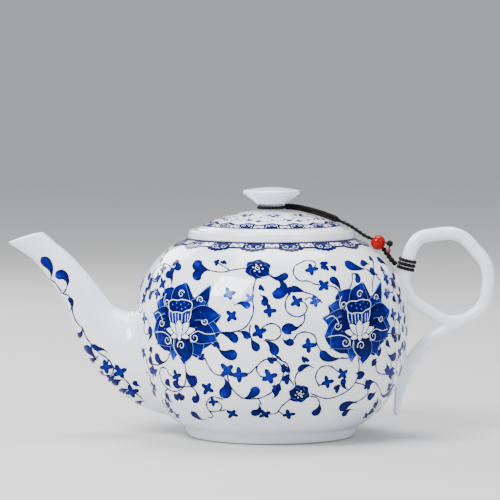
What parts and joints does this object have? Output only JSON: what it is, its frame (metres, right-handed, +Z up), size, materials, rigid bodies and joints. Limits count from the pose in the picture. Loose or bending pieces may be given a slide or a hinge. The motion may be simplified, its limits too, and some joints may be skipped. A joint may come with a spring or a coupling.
{
  "type": "porcelain teapot",
  "caption": "Squat round porcelain teapot with a curved spout, a faceted ring handle and a domed lid with a flared knob, tethered to the handle by a knotted cord with a red bead.",
  "frame": {"origin": "Middle of the object's length and width, on the surface that the foot ring stands on", "axes": "+X towards the handle (the spout points to -X), +Y to the far side as the pot is seen with its spout on the left, +Z up"},
  "size_m": [0.2286, 0.129, 0.1166],
  "materials": {
    "porcelain": "clear glossy glaze over white porcelain, with cobalt blue painting under it",
    "cord": "black waxed polyester cord, tightly knotted",
    "red_bead": "polished bright red bead",
    "seed_bead": "polished crimson seed bead"
  },
  "bodies": {
    "pot": {"pot_body": "porcelain", "spout": "porcelain", "handle": "porcelain", "handle_wrap_turn_1": "cord", "handle_wrap_turn_2": "cord", "handle_wrap_turn_3": "cord"},
    "tether": {"knob_loop": "cord", "snake_knot_braid": "cord", "cord_strand_front": "cord", "cord_strand_back": "cord", "red_bead": "red_bead", "lower_cord": "cord", "button_knot": "cord", "seed_bead": "seed_bead", "tail_bead": "cord"},
    "lid": {"lid": "porcelain", "lid_knob": "porcelain"}
  },
  "joints": [
    {"name": "cord_swing", "type": "hinge", "parent": "pot", "child": "tether", "pos_m": [0.07023, 0, 0.0822], "axis": [0, 1, 0], "range_deg": [0, 100], "deforming": ["lower_cord"]},
    {"name": "lid_turn", "type": "hinge", "parent": "tether", "child": "lid", "pos_m": [0.0094, 0, 0.0926], "axis": [0, 0, 1], "continuous": true}
  ]
}
